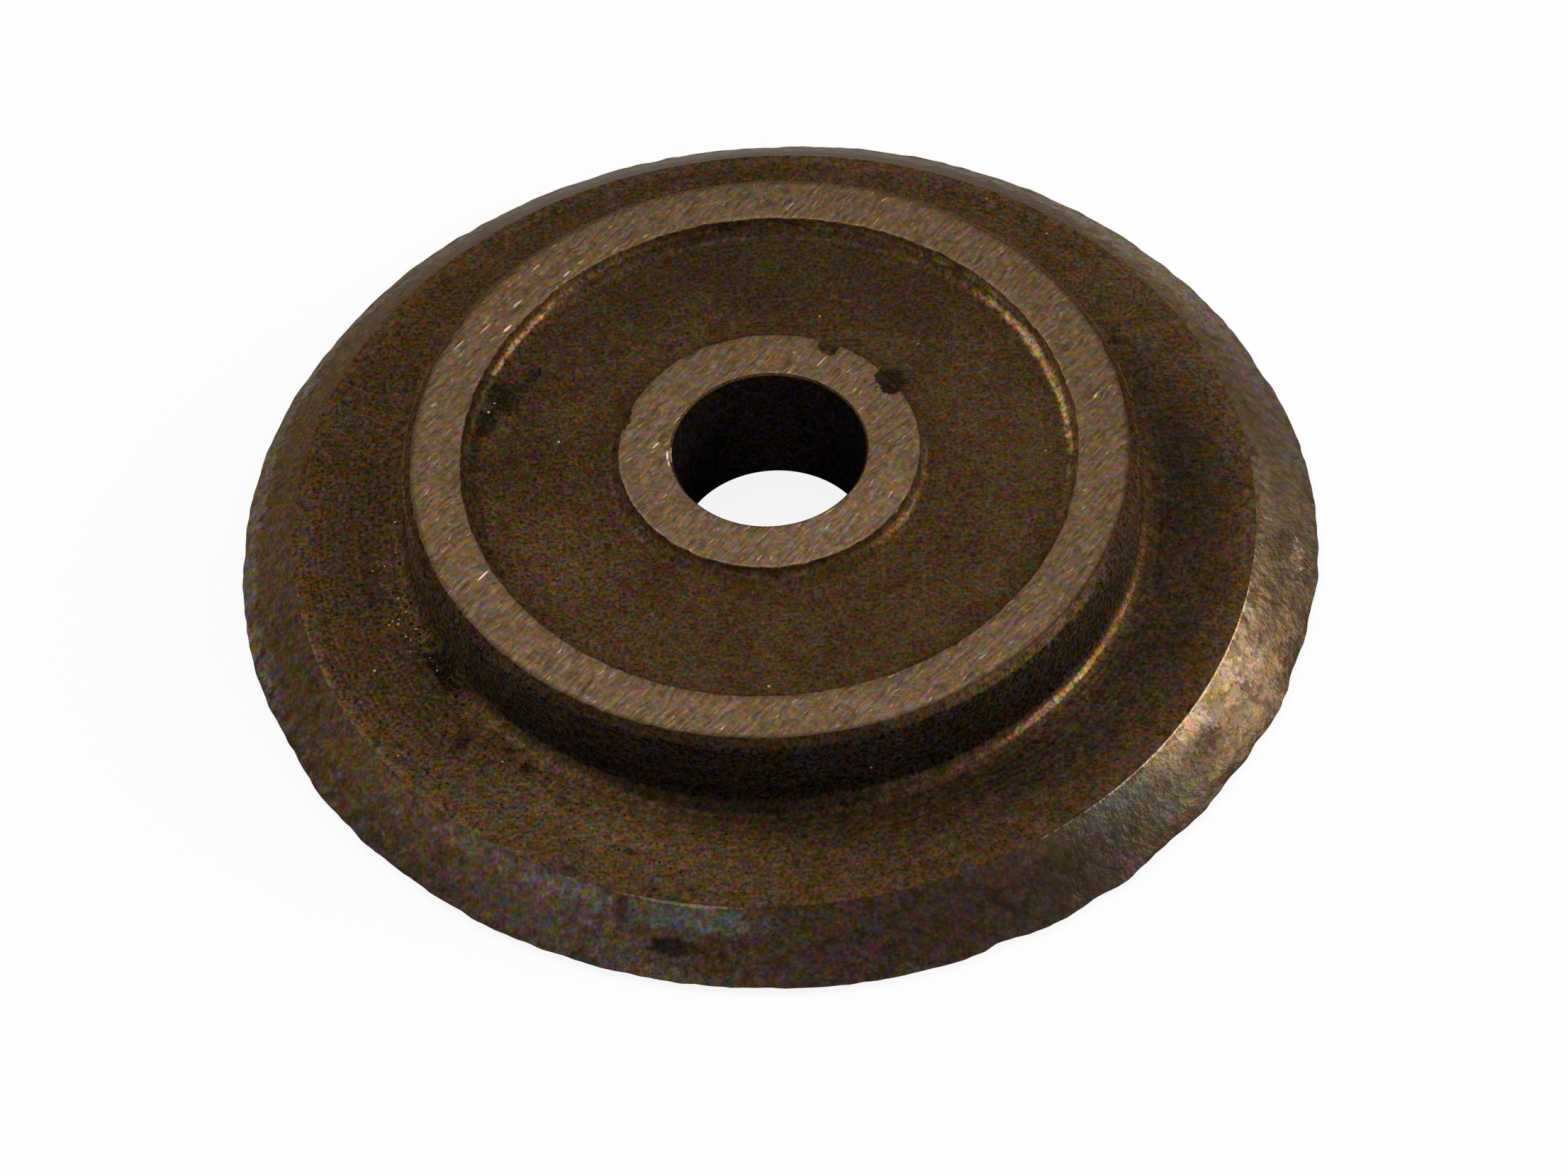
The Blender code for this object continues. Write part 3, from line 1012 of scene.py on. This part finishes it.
BEVEL_PATCHES = [
    (BEVEL_DARK, [(100, 22.65, 56, 0.65, 0.52)]),
    # Cleaner steel on the right, brighter as a painted highlight.
    (CLEAN_STEEL_AND_SHEEN, [(335, 23.5, 32, 1.9, 0.5)]),
    # Warmer steel on the right, brighter as a painted highlight.
    (WARM_STEEL_AND_SHEEN, [(15, 23.7, 34, 1.7, 0.75)]),
    # Painted sheen on the outer bevel at the back right.
    (BEVEL_SHEEN, [(34, 24.3, 30, 0.9, 0.65)]),
    # Painted highlights on the right, along the inner edge and near the cutting edge.
    (BEVEL_HIGHLIGHT, [(328, 22.75, 15, 0.65, 0.75), (335, 24, 11, 0.6, 0.45)]),
    (HEAT_BLUE, [(309, 22.75, 6.5, 0.55, 0.65), (312, 23.7, 7, 0.8, 0.35)]),
    (LEFT_BROWN, [(185, 23, 58, 1.5, 0.55)]),
    # Painted sheen on the outer bevel on the left.
    (BEVEL_SHEEN, [(165, 24.6, 30, 0.6, 0.6)]),
    (HEAT_GREY, [(240, 23.4, 13, 1.6, 0.45)]),
    (BEVEL_DARK, [(276, 23.6, 19, 1.8, 0.6)]),
    (HEAT_GREY, [(243, 22.6, 5.5, 0.36, 0.9)]),
    (HEAT_BLUE, [(258.7, 22.82, 6.6, 0.4, 0.85)]),
    (HEAT_GREY, [(255, 24.7, 3, 0.25, 0.5)]),
    # Painted sheen on the outer bevel at the back.
    (BEVEL_SHEEN, [(92, 24.3, 50, 0.8, 0.5)]),
    (BEVEL_DARK, [(250, 22.9, 0.75, 0.55, 0.75)]),
    (OIL_AND_SHADE, [(256.5, 23.85, 2.4, 0.3, 0.85)]),
    (BEVEL_DARK, [(261.5, 24, 0.9, 0.15, 0.7)]),
    # Painted highlight lines along the bevel's inner edge, at the front left and on the right.
    (BEVEL_SHEEN, [(256, WEB_END + 0.06, 7, 0.07, 0.75)]),
    (EDGE_LINE_HIGHLIGHT, [(326, WEB_END + 0.05, 19, 0.06, 0.8)]),
]
FLAKES = [
    (PIT_RED, [
        (323.2, 23.4, 2.2, 0.42, 0.75), (332, 23.7, 1.6, 0.45, 0.6), (339.5, 24.6, 1.8, 0.36, 0.7),
        (350.8, 24.4, 1.5, 0.32, 0.7), (351.8, 23.2, 2, 0.42, 0.55),
    ]),
    # Flakes that glare: painted highlights.
    (GLARE, [
        (323.5, 22.65, 2.4, 0.38, 0.4), (331.5, 22.75, 2.2, 0.36, 0.34), (335.2, 23.45, 2.2, 0.5, 0.32),
        (330.6, 23.3, 1.5, 0.34, 0.32), (352, 24.2, 1.6, 0.26, 0.5),
    ]),
]
# Painted light and shade on the bevel: factors that lighten or darken it in patches.
BEVEL_LIGHT_AND_SHADE = [
    (335, 23.5, 34, 2, 0.9), (38, 23.6, 14, 1.8, 1.2), (15, 23.9, 10, 1.3, 0.84),
    (352, 22.7, 14, 0.6, 1.3), (347, 23.7, 9, 0.9, 0.76), (326, 23.3, 14, 0.6, 0.84),
    (303, 23.9, 10, 1, 0.72), (330, 24.5, 8, 0.4, 1.2), (232, 22.65, 16, 0.5, 1.25),
    (197, 23, 10, 1, 0.78),
]


def paint_bevel(tree, place, shader):
    fresh = patch_mask(tree, place, RESHARPENED)
    shake = shake_of(tree, place, 1.5, 1.5)
    colour = paint_patches(tree, place, shake, BEVEL_BROWN, BEVEL_PATCHES)
    colour = paint_patches(tree, place, shake_of(tree, place, 3.6, 2.6), colour, FLAKES)
    colour = shade_patches(tree, place, shake, colour, BEVEL_LIGHT_AND_SHADE)
    hone = cloud(tree, unrolled(tree, place, 1.7, 1.5), 1.0, 4.0, 0.65)
    swing = times(tree, minus(tree, 0.5, hone), remap(tree, fresh, 0.0, 1.0, 0.8, 1.0))
    honed = calc(tree, "MAXIMUM", calc(tree, "ADD", swing, 1.0), LEAST_HONED)
    blotches = mottled(tree, place, 0.42, 0.22, 0.20)
    contrast = remap(tree, fresh, 0.0, 1.0, 0.55, 0.22)
    grain = mottled(tree, place, 0.18, contrast, remap(tree, fresh, 0.0, 1.0, 0.78, 0.33))
    colour = speckle(tree, speckle(tree, dim(tree, colour, honed), blotches), grain)
    height = times_plus(tree, grain["Height"], 0.3, blotches["Height"])
    return colour, times_plus(tree, hone, -0.6, height), 0.06 * MM


# %% [markdown]
# ## The bore, the underside and the breaks
# The bore's wall is painted almost black, with hardly any shine, as painted shade for
# the dark inside of the bore. The underside was ground flat like the top, and it has
# darkened more evenly. A break is coarse, dark and dull, with a few crystal faces of
# another brown, and the large chip carries a patch of painted shade. The table at
# the end gives each finish its painter, its name, its roughness, the tint at its edge
# and how metallic it is.

# %% The materials "shaded bore", "ground underside" and "broken steel"
# Near black standing in for the shade inside the bore.
BORE_SHADE_BLACK = (0.0115, 0.0082, 0.0083)
BORE_EDGE = (0.10, 0.09, 0.10)
UNDERSIDE_BROWN = (0.095, 0.060, 0.037)
BROKEN_DARK = (0.0300, 0.0150, 0.0072)
BROKEN_PINK = (0.0500, 0.0240, 0.0130)
# Painted shade in the large chip.
BREAK_SHADE = [(OIL_AND_SHADE, [(31, 6.7, 6, 0.6, 0.5)])]


# The bore's near black is painted shade; a few copper specks lie on it.
def paint_bore(tree, place, shader):
    grain = mottled(tree, place, 0.20, 1.1)
    colour = speckle(tree, BORE_SHADE_BLACK, grain)
    colour, _ = paint_specks(tree, place, colour, 0.45, 0.20, 0.09, 0.45, COPPER_HIGHLIGHT_AND_SPECK)
    return colour, grain["Height"], 0.010 * MM


def paint_underside(tree, place, shader):
    lay = use_group(tree, straight, Place=place["Point"], Across=4.0, Along=0.30)
    slow = cloud(tree, place["Point"], 0.18, 3.0, 0.55)
    colour = dim(tree, UNDERSIDE_BROWN, remap(tree, lay["Streaks"], 0.25, 0.75, 0.7, 1.3))
    colour = dim(tree, colour, remap(tree, slow, 0.3, 0.7, 0.7, 1.2))
    return speckle(tree, colour, mottled(tree, place, 0.18, 0.35, 0.6)), lay["Height"], 0.010 * MM


def paint_broken(tree, place, shader):
    grain = mottled(tree, place, 0.25, 0.5)
    colour = blend(tree, remap(tree, grain["Hue"], 0.7, 1.0), BROKEN_DARK, BROKEN_PINK)
    colour = paint_patches(tree, place, 0.0, colour, BREAK_SHADE)
    return speckle(tree, colour, grain), grain["Height"], 0.02 * MM


LOOKS = {
    "scale": (paint_scale, "dark_scale", 0.40, SCALE_EDGE, SCALE_METALLIC),
    "ground": (paint_ground, "ground_face", 0.35, GROUND_EDGE),
    "bevel": (paint_bevel, "honed_bevel", 0.36, BEVEL_EDGE, 0.75),
    "bore": (paint_bore, "shaded_bore", 0.55, BORE_EDGE, 0.3),
    "underside": (paint_underside, "ground_underside", 0.42, GROUND_EDGE),
    "broken": (paint_broken, "broken_steel", 0.65, SCALE_EDGE, 0.0),
}
for name in FINISHES:
    skin.materials.append(make_material(*LOOKS[name]))
print("materials:", [material.name for material in skin.materials])

# %% [markdown]
# ## Crumbs of dirt
# Dry grease and grinding dust have caked at the hub's foot on the left, in one thick
# clump and loose round it, and more lies in the recess and on the web. Each crumb is
# a small ball, flattened, pushed out of shape by noise and sunk into the steel. The
# dark ones are one piece, and the pale grains, which sparkle, are another. A seed
# keeps the scatter the same each time the notebook runs.

# %% Scatter the crumbs
CRUMB_SEED = 7
CRUMB_DENT = 0.45
CRUMB_FLATNESS = 0.45
CRUMB_LIFT = 0.06
ALONG_FOOT = 50
IN_CLUMP = 52
IN_RECESS = 36
ON_WEB = 50
PALE_CRUMBS = 18
RECESS_REACH = 13.6
DIRT_BROWN = (0.0140, 0.0098, 0.0065)
GRAIN_YELLOW = (0.46, 0.30, 0.10)
GRAIN_PINK = (0.42, 0.30, 0.26)
PALE_SPOTS = [
    (203, 20.1, 0.15), (178, 17.5, 0.12), (267, 13, 0.15), (72, 8.9, 0.1), (169, 9.8, 0.12),
    (163, 13.4, 0.14), (160.5, 13.3, 0.11), (197, 18.2, 0.16), (226.5, 18.6, 0.12), (216, 21.6, 0.1),
    (186, 18.1, 0.1),
]
FOOT_CENTRE = RING_RADIUS + FOOT_FILLET


def skin_height(radius):
    """Height of the blade's top skin at a radius, on the open floors and the foot."""
    if radius < RING_INNER:
        return RECESS_FLOOR
    if radius < FOOT_CENTRE:
        across = min(FOOT_CENTRE - radius, FOOT_FILLET)
        return WEB_THICKNESS + FOOT_FILLET - math.sqrt(FOOT_FILLET ** 2 - across ** 2)
    return WEB_THICKNESS - WEB_FALL * (radius - RING_RADIUS) / (BEVEL_INNER - RING_RADIUS)


def add_crumb(shape, angle_deg, radius, size):
    """One lumpy grain resting on the skin."""
    made = bmesh.ops.create_icosphere(shape, subdivisions=2, radius=size / 2.0)
    own = Vector((radius / size, angle_deg, 0.0))
    for vert in made["verts"]:
        lump = 1.0 + CRUMB_DENT * noise.noise(vert.co * (2.2 / size) + own)
        vert.co = Vector((vert.co.x, vert.co.y, CRUMB_FLATNESS * vert.co.z)) * lump
    spot = Vector((radius, 0.0, skin_height(radius) + CRUMB_LIFT * size))
    place = Matrix.Rotation(math.radians(angle_deg), 4, "Z") @ Matrix.Translation(spot)
    bmesh.ops.transform(shape, matrix=place, verts=made["verts"])


def crumb_piece(name, crumbs, material):
    """Turns (angle, radius, size) in degrees and mm into a piece that rides on the blade."""
    shape = bmesh.new()
    for angle, radius, size in crumbs:
        add_crumb(shape, angle, radius * MM, size * MM)
    piece = add_object(name, shape)
    piece.data.shade_smooth()
    piece.data.materials.append(material)
    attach(piece, "root")


def paint_caked(tree, place, shader):
    return speckle(tree, DIRT_BROWN, mottled(tree, place, 0.12, 0.8)), None, 0.0


def paint_pale(tree, place, shader):
    hue = cloud(tree, place["Point"], 0.9, 0.0, 0.5)
    return blend(tree, remap(tree, hue, 0.4, 0.6), GRAIN_YELLOW, GRAIN_PINK), None, 0.0


chance = random.Random(CRUMB_SEED)
dark = []
for _ in range(ALONG_FOOT):
    angle = chance.gauss(201.0, 7.5)
    out = abs(chance.gauss(0.0, 0.55))
    dark.append((angle, WALL + 0.20 + out, chance.uniform(0.05, 0.15)))
for _ in range(IN_CLUMP):
    out = chance.uniform(0.15, 0.95)
    dark.append((chance.gauss(208.0, 2.8), WALL + out, chance.uniform(0.08, 0.24)))
for _ in range(IN_RECESS):
    angle = chance.gauss(159.0, 3.4)
    radius = min(chance.gauss(13.0, 0.35), RECESS_REACH)
    dark.append((angle, radius, chance.uniform(0.07, 0.18)))
for _ in range(ON_WEB):
    angle = chance.uniform(178.0, 262.0)
    dark.append((angle, chance.uniform(17.9, 21.9), chance.uniform(0.06, 0.15)))
pale = PALE_SPOTS[:]
for _ in range(PALE_CRUMBS):
    angle = chance.gauss(197.0, 7.0)
    pale.append((angle, WALL + chance.uniform(0.35, 1.9), chance.uniform(0.06, 0.13)))
crumb_piece("caked_dirt", dark, make_material(paint_caked, "caked_dirt", 0.75, WHITE, 0.0))
crumb_piece("pale_grains", pale, make_material(paint_pale, "pale_grain", 0.5, WHITE, 0.0))
print("crumbs:", len(dark), "dark and", len(pale), "pale")

# %% [markdown]
# ## The camera
# The photograph was taken from above and in front with a long lens, so parallel lines
# hardly meet. The camera looks at a point just in front of the axis, and it leans a
# little to one side, as a hand-held camera does.

# %% Place the camera
CAMERA_AIM = Vector((0.275, -2.527, 0.0)) * MM
CAMERA_ELEVATION = 51.785
CAMERA_AZIMUTH = 269.903
CAMERA_DISTANCE = 262.68 * MM
CAMERA_ROLL = math.radians(-3.602)
LENS_MM = 130.2
SENSOR_MM = 36.0


def direction(azimuth_deg, elevation_deg):
    """The unit vector towards an azimuth, counted from +X, and an elevation."""
    azimuth = math.radians(azimuth_deg)
    elevation = math.radians(elevation_deg)
    level = Vector((math.cos(azimuth), math.sin(azimuth), 0.0)) * math.cos(elevation)
    return level + Vector((0.0, 0.0, math.sin(elevation)))


back = direction(CAMERA_AZIMUTH, CAMERA_ELEVATION)
camera_data = bpy.data.cameras.new("camera")
camera_data.lens = LENS_MM
camera_data.sensor_width = SENSOR_MM
camera_data.clip_start = 0.01
camera = bpy.data.objects.new("camera", camera_data)
camera.location = CAMERA_AIM + CAMERA_DISTANCE * back
upright = (-back).to_track_quat("-Z", "Y").to_matrix()
camera.rotation_euler = (upright @ Matrix.Rotation(CAMERA_ROLL, 3, "Z")).to_euler()
bpy.context.scene.collection.objects.link(camera)
bpy.context.scene.camera = camera
print("camera at", [round(value / MM, 1) for value in camera.location], "mm")

# %% [markdown]
# ## Floor, world and light
# Steel mostly shows what it reflects. The floor and the world are white to the
# camera and in reflections, and plain and dimmer as light, so colours keep their
# written value. The floor still darkens under the blade. From behind it is clear,
# so that the underside can be looked at too.

# %% Floor and world
FLOOR_SIZE = 3.0
FLOOR_DROP = 0.01 * MM
FLOOR_WHITE = (0.85, 0.85, 0.85)
FLOOR_SHOW = 0.88
AMBIENT = (0.45, 0.45, 0.45)


def seen_directly(tree):
    """1 for camera, glossy and transmission rays, and 0 for light's other rays."""
    path = add_node(tree, "LightPath", {})
    first = calc(tree, "MAXIMUM", path["Is Camera Ray"], path["Is Glossy Ray"])
    return calc(tree, "MAXIMUM", first, path["Is Transmission Ray"])


def mix_shaders(tree, factor, first, second):
    """Mixes two shaders."""
    return add_node(tree, "MixShader", {0: factor, 1: first, 2: second})[0]


floor_shape = bmesh.new()
bmesh.ops.create_grid(floor_shape, x_segments=1, y_segments=1, size=FLOOR_SIZE / 2.0)
bmesh.ops.translate(floor_shape, vec=(0.0, 0.0, -FLOOR_DROP), verts=floor_shape.verts)
floor = add_object("floor", floor_shape)

floor_white = bpy.data.materials.new("floor_white")
floor_white.use_nodes = True
tree = floor_white.node_tree
tree.nodes.remove(tree.nodes["Principled BSDF"])
matt = add_node(tree, "BsdfDiffuse", {"Color": FLOOR_WHITE})[0]
glow = add_node(tree, "Emission", {})[0]
clear = add_node(tree, "BsdfTransparent", {})[0]
behind = add_node(tree, "NewGeometry", {})["Backfacing"]
front = mix_shaders(tree, times(tree, seen_directly(tree), FLOOR_SHOW), matt, glow)
whole = mix_shaders(tree, behind, front, clear)
tree.links.new(whole, tree.nodes["Material Output"].inputs["Surface"])
floor.data.materials.append(floor_white)

world = bpy.data.worlds.new("world")
world.use_nodes = True
tree = world.node_tree
tree.nodes.clear()
plain = add_node(tree, "Background", {"Color": AMBIENT})[0]
white = add_node(tree, "Background", {"Color": WHITE})[0]
surround = mix_shaders(tree, seen_directly(tree), plain, white)
add_node(tree, "OutputWorld", {"Surface": surround})
bpy.context.scene.world = world
bpy.context.scene.view_settings.view_transform = "Standard"
print("floor", FLOOR_SIZE, "m across")

# %% [markdown]
# ## Lamps
# Two soft lamps do the modelling. One stands behind on the left and lays the hub's
# soft shadow over the web. The other is like a window on the right, and the bevel and
# the hollow fillets mirror it. A lamp's strength is given as the brightness of its
# face, because that is what the steel mirrors.

# %% Place the lamps
LAMP_DISTANCE = 0.40


def soft_lamp(name, azimuth_deg, elevation_deg, width_deg, height_deg, brightness):
    """A rectangular lamp of a given apparent size, facing the blade."""
    toward = direction(azimuth_deg, elevation_deg)
    light = bpy.data.lights.new(name, "AREA")
    light.shape = "RECTANGLE"
    light.size = 2.0 * LAMP_DISTANCE * math.tan(math.radians(width_deg) / 2.0)
    light.size_y = 2.0 * LAMP_DISTANCE * math.tan(math.radians(height_deg) / 2.0)
    light.energy = brightness * math.pi * light.size * light.size_y
    lamp = bpy.data.objects.new(name, light)
    lamp.location = LAMP_DISTANCE * toward
    lamp.rotation_euler = toward.to_track_quat("Z", "Y").to_euler()
    bpy.context.scene.collection.objects.link(lamp)
    print(name, "gives", round(light.energy, 3), "W")


soft_lamp("back_left_lamp", 145.0, 48.0, 26.0, 26.0, 2.8)
soft_lamp("right_lamp", 5.0, 28.0, 34.0, 18.0, 9.0)
soft_lamp("ceiling_lamp", 95.0, 76.0, 28.0, 28.0, 2.5)
soft_lamp("front_lamp", 265.0, 34.0, 44.0, 22.0, 1.6)
